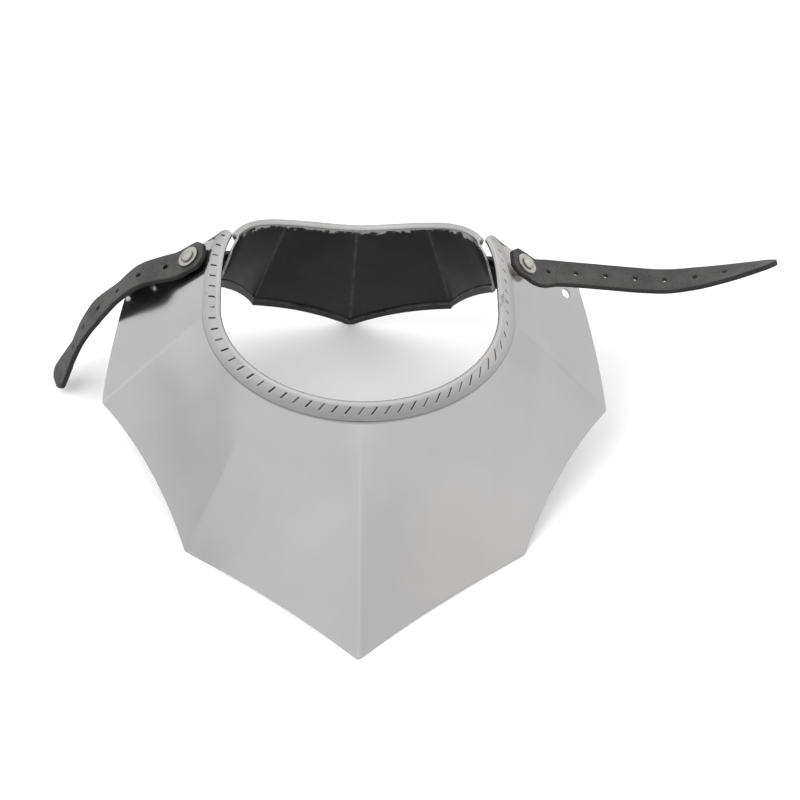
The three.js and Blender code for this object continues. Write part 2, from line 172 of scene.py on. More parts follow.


# Polished sheet: faint clouds and warm patches, a few pits, fine polishing lines, and near-black painted
# shade in the seam under the band and in the cuts, where it stands partly for soot.
def makePlateSteel():
    material, put, kit = newMaterial("plate_steel")
    look = plateSteel
    cloudy = kit["noise"](look["cloudScale"], 4.0)
    clouds = kit["ramp"](cloudy, [(0.36, look["dull"]), (0.62, look["bright"])])
    warmth = kit["ramp"](kit["noise"](7.0, 3.0), [(0.54, 0.0), (0.76, 0.45)])
    colour = kit["mix"]("MIX", warmth, clouds, look["warm"])
    pits = kit["ramp"](kit["cells"](230.0), [(0.03, 1.0), (0.07, 0.0)])
    sparse = kit["ramp"](kit["noise"](40.0, 2.0), [(0.62, 0.0), (0.70, 1.0)])
    specked = kit["mix"]("MIX", kit["mix"]("MULTIPLY", 1.0, pits, sparse), colour, look["pit"])
    # the attribute mixes in the near-black colour: painted shade in the seam, painted shade and some soot in
    # the cuts
    sootAndShade = kit["nodes"].new("ShaderNodeAttribute")
    sootAndShade.attribute_name = "sootAndShade"
    kit["link"](kit["mix"]("MIX", sootAndShade.outputs["Fac"], specked, look["sootAndShadeColour"]), put["Base Color"])
    put["Metallic"].default_value = 1.0
    low, high = look["roughness"]
    kit["link"](kit["ramp"](kit["noise"](36.0, 5.0), [(0.3, low), (0.72, high)]), put["Roughness"])
    hammered = kit["bump"](kit["noise"](look["hammerScale"], 2.0), 0.10, 0.0012)
    polish = kit["bump"](kit["noise"](1100.0, 2.0, 0.6, (1.0, 0.10, 0.4)), 0.06, 0.0002, hammered)
    kit["link"](polish, put["Normal"])
    return material


# Black satin paint inside the front plate and on the ears.
def makeBlackPaint():
    material, put, kit = newMaterial("black_paint")
    deep, pale = (0.004, 0.004, 0.004), (0.010, 0.0098, 0.0095)
    colour = kit["ramp"](kit["noise"](40.0, 4.0), [(0.35, deep), (0.7, pale)])
    put["Specular IOR Level"].default_value = 0.35
    kit["link"](colour, put["Base Color"])
    kit["link"](kit["ramp"](kit["noise"](70.0, 4.0), [(0.3, 0.32), (0.7, 0.5)]), put["Roughness"])
    kit["link"](kit["bump"](kit["noise"](420.0, 3.0), 0.12, 0.0004), put["Normal"])
    return material


# The cut edges of the sheet.
def makeRawSteel():
    material, put, kit = newMaterial("raw_edge_steel")
    colour = kit["ramp"](kit["noise"](180.0, 4.0), [(0.35, (0.42, 0.41, 0.39)), (0.65, (0.66, 0.65, 0.63))])
    kit["link"](colour, put["Base Color"])
    put["Metallic"].default_value = 1.0
    kit["link"](kit["ramp"](kit["noise"](300.0, 3.0), [(0.3, 0.35), (0.7, 0.55)]), put["Roughness"])
    return material


def makeRivetSteel():
    material, put, kit = newMaterial("rivet_steel")
    colour = kit["ramp"](kit["noise"](160.0, 3.0), [(0.35, (0.46, 0.45, 0.43)), (0.65, (0.60, 0.59, 0.57))])
    kit["link"](colour, put["Base Color"])
    put["Metallic"].default_value = 1.0
    kit["link"](kit["ramp"](kit["noise"](400.0, 4.0), [(0.3, 0.16), (0.7, 0.28)]), put["Roughness"])
    kit["link"](kit["bump"](kit["noise"](240.0, 2.0), 0.08, 0.0003), put["Normal"])
    return material


# Leather with fine creases between grains; grain sets how deep they look.
def makeLeather(name, dark, light, grain):
    material, put, kit = newMaterial(name)
    tone = kit["ramp"](kit["noise"](60.0, 5.0), [(0.32, dark), (0.7, light)])
    creases = kit["ramp"](kit["cells"](900.0, "DISTANCE_TO_EDGE"), [(0.02, 0.35), (0.16, 1.0)])
    kit["link"](kit["mix"]("MULTIPLY", 0.8, tone, creases), put["Base Color"])
    kit["link"](kit["ramp"](kit["noise"](140.0, 4.0), [(0.3, 0.40), (0.7, 0.58)]), put["Roughness"])
    fine = kit["bump"](kit["cells"](900.0), grain, 0.0005)
    kit["link"](kit["bump"](kit["noise"](240.0, 4.0), 0.25, 0.0006, fine), put["Normal"])
    return material


steelFinish = makePlateSteel()
paintFinish = makeBlackPaint()
rawFinish = makeRawSteel()
rivetFinish = makeRivetSteel()
leatherFace = makeLeather("strap_leather", (0.030, 0.030, 0.030), (0.070, 0.069, 0.067), 0.4)
leatherEdge = makeLeather("strap_edge", (0.010, 0.010, 0.010), (0.022, 0.021, 0.020), 0.7)
print("materials made")

# Front plate.

neckLine = {"halfWidth": 74.0, "frontDepth": 56.5, "rearDepth": 64.0, "sideHeight": 96.5, "slope": 0.235}
rimBand = {
    "width": 11.0, "frontSlope": 70.0, "sideSlope": 34.0, "bead": 2.0, "flap": 1.2,
    "endTurn": 3.0, "endCut": 0.4,
}
rimCuts = {
    "count": 47, "endAngle": 118.0, "length": 6.4, "width": 1.15, "depth": 0.5, "lean": 32.0, "down": 4.6,
}
frontRidges = {
    "angle": np.array([0.0, 41.0, 90.0, 122.6]),
    "x": np.array([0.0, 91.0, 138.0, 125.0]),
    "y": np.array([-161.5, -89.0, -16.0, 49.0]),
    "z": np.array([-0.4, -0.6, 38.0, 70.0]),
    "scoop": np.array([0.033, 0.077, -0.04]),
    "sag": np.array([2.6, 2.8, 0.4]),
    "soft": 0.45,
}


# The neck line: an ellipse in front and a squarer curve behind (power four), on a plane that slopes to the
# front.
def neckPoint(angle):
    s, c = np.sin(angle), np.cos(angle)
    power = np.where(c < 0, 4.0, 2.0)
    depth = np.where(c < 0, neckLine["rearDepth"], neckLine["frontDepth"])
    x = neckLine["halfWidth"] * signedPower(s, 2.0 / power)
    y = -depth * signedPower(c, 2.0 / power)
    across = signedPower(x / neckLine["halfWidth"], power - 1.0) / neckLine["halfWidth"]
    back = signedPower(y / depth, power - 1.0) / depth
    outward = unit(np.stack([across, back, np.zeros_like(x)], -1))
    return np.stack([x, y, neckLine["sideHeight"] + neckLine["slope"] * y], -1), outward


# The band's inner edge turns away in a quarter circle at each rear end: the share of its width that is left.
def bandShare(angle):
    turn = np.radians(rimBand["endTurn"])
    near = (np.abs(angle) - np.radians(frontRidges["angle"][-1]) + turn) / turn
    return 1.0 - rimBand["endCut"] * (1.0 - np.sqrt(1.0 - np.clip(near, 0.0, 1.0) ** 2))


# A point of the band at a distance down it and a height off it; the band is steep in front and flatter at
# the sides.
def bandPoint(angle, along, off):
    point, outward = neckPoint(angle)
    along = rimBand["width"] - (rimBand["width"] - np.asarray(along)) * bandShare(angle)
    share = np.maximum(np.cos(angle), 0.0)
    steeper = rimBand["frontSlope"] - rimBand["sideSlope"]
    slope = np.radians(rimBand["sideSlope"] + steeper * share)[..., None]
    up = np.array([0.0, 0.0, 1.0])
    down = outward * np.cos(slope) - up * np.sin(slope)
    face = outward * np.sin(slope) + up * np.cos(slope)
    return point + down * along[..., None] + face * np.asarray(off)[..., None]


# The plate's outer face: straight lines from the band's lower edge to an edge scooped between the points,
# sagging between the ridges.
def frontFace(angle, reach):
    top = bandPoint(angle, np.full_like(angle, rimBand["width"]), np.zeros_like(angle))
    turn = np.clip(np.degrees(np.abs(angle)), 0.0, frontRidges["angle"][-1])
    row = np.clip(np.searchsorted(frontRidges["angle"], turn, side="right") - 1, 0, 2)
    start, end = frontRidges["angle"][row], frontRidges["angle"][row + 1]
    share = (turn - start) / (end - start)
    hump = 4.0 * share * (1.0 - share)
    edge = np.stack([np.interp(turn, frontRidges["angle"], frontRidges[k]) for k in "xyz"], -1)
    edge[..., 0] *= np.where(angle < 0, -1.0, 1.0)
    edge += (top - edge) * (frontRidges["scoop"][row] * hump)[..., None]
    point = top + (edge - top) * reach[..., None]
    point[..., 2] -= frontRidges["sag"][row] * hump * np.sin(np.pi * reach)
    return point


# The same face with its ridges softened: an average over a small fan of neighbouring angles.
def softFrontFace(angle, reach):
    limit = np.radians(frontRidges["angle"][-1])
    inside = np.minimum(1.0, (limit - np.abs(angle)) / np.radians(2.0) + 1e-6)
    spread = np.radians(frontRidges["soft"]) * inside
    weights = [0.06, 0.24, 0.40, 0.24, 0.06]
    steps = [-2.0, -1.0, 0.0, 1.0, 2.0]
    fan = [np.clip(angle + k * spread, -limit, limit) for k in steps]
    return sum(w * frontFace(turned, reach) for w, turned in zip(weights, fan))


def softFrontNormal(angle, reach):
    turn, step = 0.012, 0.012
    limit = np.radians(frontRidges["angle"][-1])
    before, after = np.clip(angle - turn, -limit, limit), np.clip(angle + turn, -limit, limit)
    low = np.clip(reach - step, 0.0, 1.0 - 2.0 * step)
    across = softFrontFace(after, reach) - softFrontFace(before, reach)
    down = softFrontFace(angle, low + 2.0 * step) - softFrontFace(angle, low)
    return unit(np.cross(down, across))


# Angles of the cuts, in radians: evenly spaced by the distance round the band.
def cutAngles():
    fine = np.radians(np.linspace(-rimCuts["endAngle"], rimCuts["endAngle"], 2001))
    line = bandPoint(fine, np.full_like(fine, rimCuts["down"]), np.zeros_like(fine))
    length = np.concatenate([[0.0], np.cumsum(np.linalg.norm(np.diff(line, axis=0), axis=1))])
    return np.interp(np.linspace(0.0, length[-1], rimCuts["count"]), length, fine)


# Columns round the plate: close together at each cut in the band, wider between the cuts.
def plateColumns():
    limit = np.radians(frontRidges["angle"][-1])
    cuts = cutAngles()
    gaps = np.gradient(cuts)
    near = np.array([-0.5, -0.36, -0.24, -0.14, -0.09, -0.045, 0.0, 0.045, 0.09, 0.14, 0.24, 0.36])
    inner = (cuts[:, None] + near[None, :] * gaps[:, None]).ravel()
    last = cuts[-1] + 0.36 * gaps[-1]
    tails = np.linspace(last, limit, 9)[1:]
    angles = np.sort(np.concatenate([-tails, inner[inner > -last - 1e-6], tails]))
    return angles[np.concatenate([[True], np.diff(angles) > 1e-4])]


# How deep the cuts are at an angle and a distance down the band: a V across each cut, fading at its ends.
def cutDepth(angle, along, slant):
    cuts = cutAngles()
    index = np.abs(angle[:, None] - cuts[None, :]).argmin(axis=1)
    aside = (angle - cuts[index]) * slant
    worn = 1.0 - 0.55 * smoothStep(math.radians(62), math.radians(84), angle)
    half = 0.5 * rimCuts["length"] * math.cos(math.radians(rimCuts["lean"])) * worn
    groove = np.clip(1.0 - np.abs(aside) / (0.5 * rimCuts["width"]), 0.0, 1.0)
    ends = smoothStep(0.0, 0.7, half - np.abs(along - rimCuts["down"]))
    jitter = 0.8 + 0.2 * np.sin(index * 2.4)
    return rimCuts["depth"] * groove * ends * jitter * (0.65 + 0.35 * worn)


def frontPlate():
    angles = plateColumns()
    bead, flap = rimBand["bead"], rimBand["flap"]
    crown = 2.0 * bead - sheetThickness
    limit = np.radians(frontRidges["angle"][-1])
    level, step = np.full_like(angles, rimCuts["down"]), 1e-3
    ahead, behind = bandPoint(angles + step, level, 0 * angles), bandPoint(angles - step, level, 0 * angles)
    slant = np.linalg.norm(ahead - behind, axis=-1) / (2 * step)  # millimetres round the band for a radian
    rings, kinds, sootAndShadeRows = [], [], []

    def add(points, kind, sootAndShade=0.0):
        rings.append(points)
        kinds.append(kind)
        sootAndShadeRows.append(np.broadcast_to(sootAndShade, angles.shape))

    reaches = np.concatenate([np.linspace(1.0, 0.09, 30), np.linspace(0.06, 0.0, 4)])
    for reach in reaches:
        r = np.full_like(angles, reach)
        add(softFrontFace(angles, r), 0, 0.95 if reach == 0.0 else 0.0)  # painted shade darkens the seam under the band
    # the flap's lower edge, then up the face of the band, sheared so that columns follow the cuts
    below = np.full_like(angles, rimBand["width"] + 0.15)
    # the flap's lower edge gets painted shade
    add(bandPoint(angles, below, np.full_like(angles, 0.45 * flap)), 0, 0.9)
    fade = np.clip((limit - np.abs(angles)) / math.radians(6.0), 0.0, 1.0)
    for along in np.linspace(rimBand["width"] - 0.05, bead + 0.1, 22):
        shear = (rimCuts["down"] - along) * math.tan(math.radians(rimCuts["lean"])) / slant
        sheared = angles + shear * fade * smoothStep(rimBand["width"], rimBand["width"] - 2.0, along)
        share = (along - bead) / (rimBand["width"] - bead)
        belly = 0.35 * math.sin(math.pi * share)
        cut = cutDepth(angles, along, slant)
        height = crown + (flap - crown) * share + belly - cut
        # the cut grooves darken with their depth: painted shade, partly soot
        sootAndShade = smoothStep(0.08, 0.45, cut / rimCuts["depth"])
        add(bandPoint(np.clip(sheared, -limit, limit), np.full_like(angles, along), height), 0, sootAndShade)
    topShear = (rimCuts["down"] - bead) * math.tan(math.radians(rimCuts["lean"])) / slant * fade
    for turn in np.linspace(0.0, 180.0, 13):
        t = math.radians(turn)
        a = np.clip(angles + topShear * (1.0 - turn / 180.0), -limit, limit)
        along, off = bead - bead * math.sin(t), bead - sheetThickness + bead * math.cos(t)
        add(bandPoint(a, np.full_like(angles, along), np.full_like(angles, off)), 0 if turn < 140 else 1)
    for along in (4.0, 6.0, 8.0, rimBand["width"] - 1.2):
        add(bandPoint(angles, np.full_like(angles, along), np.full_like(angles, -sheetThickness)), 1)
    outerRows = len(reaches) + 23 + 6
    for reach in np.linspace(0.02, 1.0, outerRows - 11):
        r = np.full_like(angles, reach)
        add(softFrontFace(angles, r) - softFrontNormal(angles, r) * sheetThickness, 1)
    grid = np.stack(rings, 0)
    grid[..., 2] = np.maximum(grid[..., 2], 0.02)  # the points stand flat on the ground
    rows, columns = grid.shape[:2]
    quads = gridFaces(rows, columns, closeRows=True)
    slots = np.repeat(np.array(kinds), columns - 1)
    slots[(rows - 1) * (columns - 1):] = 2  # the cut edge of the sheet
    # each shoulder's rear end is closed by a strip between the outer and the inner rows
    outer, inner = np.arange(outerRows), np.arange(rows - 1, rows - 1 - outerRows, -1)
    for column, order in ((0, (0, 1, 2, 3)), (columns - 1, (3, 2, 1, 0))):
        cap = np.stack([outer[:-1], inner[:-1], inner[1:], outer[1:]], -1)[:, order] * columns + column
        quads = np.concatenate([quads, cap])
        slots = np.concatenate([slots, np.full(len(cap), 2)])
    return grid.reshape(-1, 3), quads, slots, np.stack(sootAndShadeRows, 0).ravel()


def straightened(piece):
    work = bmesh.new()
    work.from_mesh(piece.data)
    bmesh.ops.remove_doubles(work, verts=work.verts, dist=2e-6)
    bmesh.ops.recalc_face_normals(work, faces=work.faces)
    work.to_mesh(piece.data)
    work.free()
    return piece


# The rivet's seat on a shoulder: the face's point, the direction outward along the strap, the width and the
# normal.
rivetPlace = {"angle": 113.2, "reach": 0.2}
shoulderHole = {"angle": 118.2, "reach": 0.785, "radius": 2.9}


def seatOnPlate(angle, reach):
    angle, reach = np.array([math.radians(angle)]), np.array([reach])
    turn, step = 0.01, 0.01
    across = frontFace(angle + turn, reach) - frontFace(angle - turn, reach)
    down = frontFace(angle, reach + step) - frontFace(angle, reach - step)
    normal = unit(np.cross(down, across))[0]
    side = np.array([np.sign(angle[0]), 0.0, 0.0])
    along = unit(side - normal * side.dot(normal))
    return frontFace(angle, reach)[0], along, np.cross(normal, along), normal


# A short drum of points round a seat's normal, used to open the bare hole in the shoulder.
def drum(seat, radius, half, sides=40):
    centre, along, wide, normal = seat
    turn = np.linspace(0.0, 2.0 * np.pi, sides, endpoint=False)
    ring = centre + radius * (np.cos(turn)[:, None] * along + np.sin(turn)[:, None] * wide)
    points = np.concatenate([ring - half * normal, ring + half * normal])
    mesh = bpy.data.meshes.new("drum")
    faces = gridFaces(2, sides, closeColumns=True).tolist()
    faces += [list(range(sides)), list(range(2 * sides - 1, sides - 1, -1))]
    mesh.from_pydata(toFrame(points).tolist(), [], faces)
    piece = bpy.data.objects.new("drum", mesh)
    bpy.context.scene.collection.objects.link(piece)
    return straightened(piece)


def opened(piece, cutter):
    change = piece.modifiers.new("hole", "BOOLEAN")
    change.operation, change.solver, change.object = "DIFFERENCE", "EXACT", cutter
    bpy.context.view_layer.update()
    ready = piece.evaluated_get(bpy.context.evaluated_depsgraph_get())
    fresh = bpy.data.meshes.new_from_object(ready)
    piece.modifiers.clear()
    old, piece.data = piece.data, fresh
    bpy.data.meshes.remove(old)
    bpy.data.objects.remove(cutter)
    return piece


points, quads, slots, sootAndShade = frontPlate()
plateFront = meshPiece("front_plate_steel", points, quads, [steelFinish, paintFinish, rawFinish], slots)
# this attribute carries the painted shade of the seam and the cuts, partly soot
setValues(plateFront, "sootAndShade", sootAndShade)
straightened(plateFront)
hole = drum(seatOnPlate(shoulderHole["angle"], shoulderHole["reach"]), shoulderHole["radius"], 6.0)
opened(plateFront, hole)
plateFront.data.set_sharp_from_angle(angle=math.radians(50))
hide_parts("front_plate")
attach(plateFront, "root")
print("front plate", len(plateFront.data.polygons))

# Back plate.

backNeckLine = {
    "halfWidth": 72.0, "depth": 72.0, "height": 87.6, "rise": 12.0, "riseAt": 71.5, "risePower": 1.75,
}
backRim = {"radius": 2.2, "endsAt": 0.935, "ease": 0.006, "hemWidth": 5.0, "hemThickness": 1.1}
backRidges = {
    "across": np.array([0.0, 0.56, 0.982]),
    "x": np.array([0.0, 59.0, 77.0]),
    "y": np.array([93.0, 80.0, 39.0]),
    "z": np.array([-1.0, 26.0, 76.0]),
    "scoop": np.array([0.055, 0.05]),
    "hollow": 1.2, "soft": 0.008,
}


# Its neck line: a rounded rectangle of power four in plan, lowest in the middle.
def backNeck(across):
    x = backNeckLine["halfWidth"] * across
    y = backNeckLine["depth"] * np.clip(1.0 - np.abs(across) ** 4, 0.0, 1.0) ** 0.25
    aside = np.abs(x) / backNeckLine["riseAt"]
    z = backNeckLine["height"] + backNeckLine["rise"] * aside ** backNeckLine["risePower"]
    return np.stack([x, y, z], -1)


# Its outer face: straight lines from the neck line to the scooped lower edge, hollowed between the ridges.
def backFace(across, reach):
    top = backNeck(across)
    turn = np.clip(np.abs(across), 0.0, backRidges["across"][-1])
    row = (turn > backRidges["across"][1]).astype(int)
    start, end = backRidges["across"][row], backRidges["across"][row + 1]
    share = (turn - start) / (end - start)
    hump = 4.0 * share * (1.0 - share)
    edge = np.stack([np.interp(turn, backRidges["across"], backRidges[k]) for k in "xyz"], -1)
    edge[..., 0] *= np.where(across < 0, -1.0, 1.0)
    edge += (top - edge) * (backRidges["scoop"][row] * hump)[..., None]
    point = top + (edge - top) * reach[..., None]
    inward = unit(point * np.array([-1.0, -1.0, 0.0]))
    return point + inward * (backRidges["hollow"] * hump * np.sin(np.pi * reach))[..., None]


def softBackFace(across, reach):
    limit = backRidges["across"][-1]
    spread = backRidges["soft"] * np.minimum(1.0, (limit - np.abs(across)) / 0.03 + 1e-6)
    weights, steps = [0.25, 0.5, 0.25], [-1.0, 0.0, 1.0]
    fan = [np.clip(across + k * spread, -limit, limit) for k in steps]
    return sum(w * backFace(moved, reach) for w, moved in zip(weights, fan))


def backNormal(across, reach):
    limit, turn, step = backRidges["across"][-1], 0.004, 0.01
    before, after = np.clip(across - turn, -limit, limit), np.clip(across + turn, -limit, limit)
    low = np.clip(reach - step, 0.0, 1.0 - 2.0 * step)
    along = softBackFace(after, reach) - softBackFace(before, reach)
    down = softBackFace(across, low + 2.0 * step) - softBackFace(across, low)
    return unit(np.cross(along, down))


def backPlate():
    limit, ends = backRidges["across"][-1], backRim["endsAt"]
    even, close = np.sin(np.linspace(0, 1, 110) * np.arcsin(limit)), ends + np.linspace(-0.012, 0.012, 9)
    half = np.unique(np.concatenate([even, close]))
    across = np.concatenate([-half[:0:-1], half])
    full = np.full_like(across, 1.0)
    length = np.linalg.norm(softBackFace(across, full) - softBackFace(across, 0 * full), axis=-1)
    hemTop = 1.0 - backRim["hemWidth"] / length
    rolled = 1.0 - smoothStep(ends - backRim["ease"], ends + backRim["ease"], np.abs(across))
    radius = sheetThickness / 2 + (backRim["radius"] - sheetThickness / 2) * rolled
    top, out = softBackFace(across, 0 * full), backNormal(across, 0 * full)
    up = unit(top - softBackFace(across, 0.05 * full))
    rings, depth, sheenAndWear = [], [], []
    creases = np.array([-backRidges["across"][1], 0.0, backRidges["across"][1]])
    aside = np.abs(across[:, None] - creases[None, :]).min(axis=1) * backNeckLine["halfWidth"]
    # a thin painted highlight along each crease, standing partly for worn paint
    creaseSheen = 0.7 * np.exp(-(aside / 0.7) ** 2)

    def add(points, below, worn=0.0):
        rings.append(points)
        depth.append(np.broadcast_to(below, across.shape))
        sheenAndWear.append(np.broadcast_to(worn, across.shape))

    def roll(turn):
        t = math.radians(turn)
        return top + out * (radius - sheetThickness + radius * math.cos(t))[:, None] \
            + up * (0.05 + radius + radius * math.sin(t))[:, None]

    def wall(reach, deep):
        return softBackFace(across, reach) - backNormal(across, reach) * np.asarray(deep)[..., None]

    for share in np.linspace(1.0, 0.0, 30):
        add(wall(share * full, 0 * full), -9.0)
    for turn in (-70, -40, -10, 20, 50, 80):
        add(roll(turn), -9.0)
    for turn in (105, 130, 155, 180, 200):
        add(roll(turn), -9.0 if turn < 170 else 0.0)
    for share in np.linspace(0.0, 1.0, 22):
        reach = 0.01 + (hemTop - 0.012 - 0.01) * share
        add(wall(reach, sheetThickness * full), reach * length, creaseSheen)
    # the hem's fold, face and lower edge are lightened: painted highlight, partly worn paint
    for step in (0.0, 0.35, 0.7, 1.0):
        deep = sheetThickness + backRim["hemThickness"] * step
        add(wall(hemTop - 0.010 * (1 - step), deep * full), hemTop * length, 0.85 * step)
    for share in (0.25, 0.5, 0.75, 0.95):
        add(wall(hemTop + (1 - hemTop) * share, (sheetThickness + backRim["hemThickness"]) * full), length,
            0.12 if share < 0.9 else 0.7)
    add(wall(full, (sheetThickness + 0.5 * backRim["hemThickness"]) * full), length, 1.0)
    grid, below, worn = np.stack(rings, 0), np.stack(depth, 0), np.stack(sheenAndWear, 0)
    grid[..., 2] = np.maximum(grid[..., 2], 0.02)
    rows, columns = grid.shape[:2]
    quads = gridFaces(rows, columns, closeRows=True)
    slots = np.zeros(len(quads))
    outer, inner = np.arange(rows // 2), np.arange(rows - 1, rows - 1 - rows // 2, -1)
    for column, order in ((0, (0, 1, 2, 3)), (columns - 1, (3, 2, 1, 0))):
        cap = np.stack([outer[:-1], inner[:-1], inner[1:], outer[1:]], -1)[:, order] * columns + column
        quads = np.concatenate([quads, cap])
        slots = np.concatenate([slots, np.full(len(cap), 1)])
    return grid.reshape(-1, 3), quads, slots, below.ravel(), worn.ravel()


# Steel outside and over the roll, black paint inside, with a ragged line between them set by the paintBelow
# attribute, and the paint lightened to grey where the worn attribute says so: a painted highlight along the
# creases and the hem, standing partly for worn paint.
def makeBackFinish():
    material, put, kit = newMaterial("back_plate_finish")
    reader = kit["nodes"].new("ShaderNodeAttribute")
    reader.attribute_name = "paintBelow"
    ragged = kit["nodes"].new("ShaderNodeMath")
    ragged.operation = "MULTIPLY_ADD"
    ragged.inputs[1].default_value = 5.0
    kit["link"](kit["noise"](190.0, 4.0, 0.65), ragged.inputs[0])
    kit["link"](reader.outputs["Fac"], ragged.inputs[2])
    edge = kit["nodes"].new("ShaderNodeMapRange")
    edge.inputs["From Min"].default_value, edge.inputs["From Max"].default_value = 2.3, 2.8
    kit["link"](ragged.outputs[0], edge.inputs["Value"])
    mask = edge.outputs["Result"]
    steel = kit["ramp"](kit["noise"](30.0, 4.0), [(0.35, (0.50, 0.495, 0.49)), (0.62, (0.58, 0.575, 0.575))])
    deep, pale = (0.004, 0.004, 0.004), (0.011, 0.0108, 0.0105)
    paint = kit["ramp"](kit["noise"](40.0, 4.0), [(0.35, deep), (0.7, pale)])
    # the worn attribute lightens the paint to grey: painted highlight on the creases and the hem, partly worn
    # paint
    sheenAndWearReader = kit["nodes"].new("ShaderNodeAttribute")
    sheenAndWearReader.attribute_name = "worn"
    patchy = kit["ramp"](kit["noise"](150.0, 4.0, 0.7), [(0.40, 0.25), (0.60, 1.0)])
    where = kit["mix"]("MULTIPLY", 1.0, sheenAndWearReader.outputs["Fac"], patchy)
    paintWithSheen = kit["mix"]("MIX", where, paint, (0.075, 0.074, 0.072))
    put["Specular IOR Level"].default_value = 0.32
    kit["link"](kit["mix"]("MIX", mask, steel, paintWithSheen), put["Base Color"])
    metal = kit["nodes"].new("ShaderNodeMapRange")
    metal.inputs["To Min"].default_value, metal.inputs["To Max"].default_value = 1.0, 0.0
    kit["link"](mask, metal.inputs["Value"])
    kit["link"](metal.outputs["Result"], put["Metallic"])
    kit["link"](kit["ramp"](kit["noise"](60.0, 4.0), [(0.3, 0.24), (0.7, 0.36)]), put["Roughness"])
    kit["link"](kit["bump"](kit["noise"](36.0, 2.0), 0.2, 0.001), put["Normal"])
    return material


points, quads, slots, below, worn = backPlate()
plateBack = meshPiece("back_plate_steel", points, quads, [makeBackFinish(), rawFinish], slots)
setValues(plateBack, "paintBelow", below)
# this attribute carries the painted highlight of the creases and the hem, partly worn paint
setValues(plateBack, "worn", worn)
straightened(plateBack)
plateBack.data.set_sharp_from_angle(angle=math.radians(50))
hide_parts("back_plate")
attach(plateBack, "root")
print("back plate", len(plateBack.data.polygons))

# Each end of the back plate turns outward in a flange, with an ear bent along the underside of the shoulder.
earShape = {
    "width": 11.0, "seatLength": 15.0, "rootReach": 0.2, "rootAcross": (0.98, 0.938), "bury": 0.7, "gap": 0.8,
}
flangeShape = {
    "across": 0.974, "from": 0.08, "to": 0.97, "topOut": 12.5, "topDrop": 5.0, "lowOut": 11.0, "lowRise": 2.0,
}


def shoulderEar(side):
    centre, along, wide, normal = seatOnPlate(side * rivetPlace["angle"], rivetPlace["reach"])
    top, half = sheetThickness + earShape["gap"], earShape["seatLength"] / 2
    edge = side * earShape["width"] / 2
    roots = side * np.array(earShape["rootAcross"])
    reach = np.full_like(roots, earShape["rootReach"])
    root = softBackFace(roots, reach) - backNormal(roots, reach) * earShape["bury"]
    lift = np.array([0.0, 0.0, sheetThickness / 2])
    rings = [[root[0] + lift, root[1] + lift, root[1] - lift, root[0] - lift]]
    for a in (-half, half):
        spot = lambda w, d: centre + along * a + wide * w - normal * d
        under = top + sheetThickness
        rings.append([spot(-edge, top), spot(edge, top), spot(edge, under), spot(-edge, under)])
    ends = side * np.full(2, flangeShape["across"])
    high, low = softBackFace(ends, np.array([flangeShape["from"], flangeShape["to"]]))
    bury, sheet = np.array([-side * earShape["bury"], 0.0, 0.0]), np.array([0.0, sheetThickness, 0.0])
    outHigh = high + np.array([side * flangeShape["topOut"], 0.0, -flangeShape["topDrop"]])
    outLow = low + np.array([side * flangeShape["lowOut"], 0.0, flangeShape["lowRise"]])
    near = [high + bury, low + bury, low + bury + sheet, high + bury + sheet]
    far = [outHigh, outLow, outLow + sheet, outHigh + sheet]
    points = np.concatenate([np.array(rings).reshape(-1, 3), near, far])
    strip = np.concatenate([gridFaces(3, 4, closeColumns=True), [[0, 1, 2, 3], [11, 10, 9, 8]]])
    turned = np.concatenate([gridFaces(2, 4, closeColumns=True), [[0, 1, 2, 3], [7, 6, 5, 4]]]) + 12
    return points, np.concatenate([strip, turned])


for side, word in ((-1, "left"), (1, "right")):
    points, quads = shoulderEar(side)
    ear = straightened(meshPiece("ear_" + word, points, quads, [paintFinish]))
    bevel = ear.modifiers.new("soft edges", "BEVEL")
    bevel.width, bevel.segments = 0.0003, 2
    ear.data.shade_flat()
    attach(ear, "root")

# Straps.

strapShape = {
    "width": 19.0, "thickness": 2.8, "hole": 1.5, "rivetHole": 2.3, "insideEnd": 10.0,
    "chamfer": 5.0, "lift": 1.45,
    "flatEnd": 9.0, "flatUntil": 16.0, "settle": 40.0, "tip": 7.0, "blunt": 0.45, "round": 0.7,
}
strapRoutes = {  # out from the middle plane, back, up, twist in degrees
    "left": {"side": -1.0, "holes": 6, "pitch": 16.0, "mirrored": True, "route": np.array([
        (107, 42, 84, 0), (120, 41, 79, 3), (132, 40, 67.2, 8), (143.5, 38.5, 54.5, -4),
        (152, 37.5, 40, -1), (158, 36.5, 25, 1), (168, 33.5, 3.8, -16)], dtype=float)},
    "right": {"side": 1.0, "holes": 7, "pitch": 16.9, "mirrored": False, "route": np.array([
        (108, 44.6, 84.6, 0), (123.5, 46.3, 82, 0), (139, 46.5, 80.5, 0), (156, 46.5, 79, 0),
        (173, 46.5, 78.5, 2), (191, 46.5, 81.5, 8), (212, 46.5, 87.3, 22),
        (233, 46.5, 94.5, 38)], dtype=float)},
}


